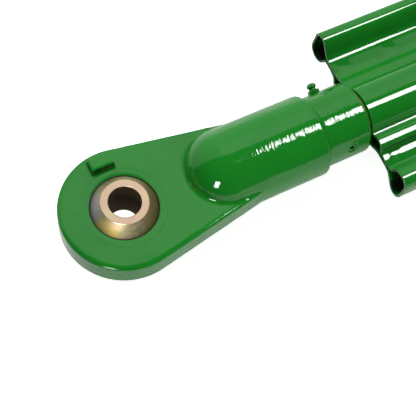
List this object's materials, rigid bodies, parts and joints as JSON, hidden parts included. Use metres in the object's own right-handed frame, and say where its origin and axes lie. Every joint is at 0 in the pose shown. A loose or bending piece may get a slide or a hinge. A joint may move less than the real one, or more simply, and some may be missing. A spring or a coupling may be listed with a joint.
{
  "type": "three-point lift link",
  "caption": "Adjustable tractor lift link: swivel-ball eye and pinned fork joined by a threaded tube that a sliding sheet-metal handle turns and locks.",
  "frame": {"origin": "centre of the swivel ball", "axes": "+X runs along the link from the ball to the fork, +Z is the axis of the ball's pin hole"},
  "size_m": [0.728, 0.1546, 0.07],
  "materials": {
    "green_enamel": "glossy enamel with slight orange peel",
    "zinc_ball": "yellow zinc passivation, iridescent on the curved faces",
    "bare_steel": "machined",
    "bronze": "as brazed, dull",
    "black_plastic": "matt"
  },
  "bodies": {
    "eye": {"upper_eye": "green_enamel", "ball_race": "green_enamel", "upper_screw": "bare_steel", "upper_screw_pin": "bare_steel"},
    "ball": {"swivel_ball": "zinc_ball"},
    "wiper": {"upper_wiper": "black_plastic"},
    "tube": {"upper_nut": "green_enamel", "nut_braze": "bronze", "set_screw": "green_enamel", "set_screw_plug": "black_plastic", "grease_fittings": "green_enamel", "fitting_balls": "bare_steel", "fitting_springs": "bare_steel", "body_tube": "green_enamel", "key_bars": "green_enamel", "key_bar_welds": "green_enamel", "lower_wiper": "black_plastic"},
    "handle": {"handle_front": "green_enamel", "handle_back": "green_enamel"},
    "yoke": {"lower_screw": "bare_steel", "lower_screw_pin": "bare_steel", "lower_yoke": "green_enamel", "lock_lugs": "green_enamel", "lock_lug_welds": "green_enamel", "yoke_bushes": "bare_steel"}
  },
  "joints": [
    {"name": "ball_tilt", "type": "hinge", "parent": "eye", "child": "ball", "pos_m": [0, 0, 0], "axis": [0, 1, 0], "range_deg": [-15, 15]},
    {"name": "wiper_slide", "type": "slide", "parent": "eye", "child": "wiper", "axis": [1, 0, 0], "range_m": [0, 0.0401]},
    {"name": "tube_turn", "type": "hinge", "parent": "wiper", "child": "tube", "pos_m": [0.19, 0, 0], "axis": [1, 0, 0], "range_deg": [0, 3600]},
    {"name": "yoke_slide", "type": "slide", "parent": "eye", "child": "yoke", "axis": [1, 0, 0], "range_m": [0, 0.0801]},
    {"name": "handle_slide", "type": "slide", "parent": "tube", "child": "handle", "axis": [1, 0, 0], "range_m": [-0.002, 0.088]}
  ],
  "couplings": [
    {"joint": "wiper_slide", "follows": "tube_turn", "m_per_rad": 0.00063662},
    {"joint": "yoke_slide", "follows": "tube_turn", "m_per_rad": 0.0012732}
  ]
}
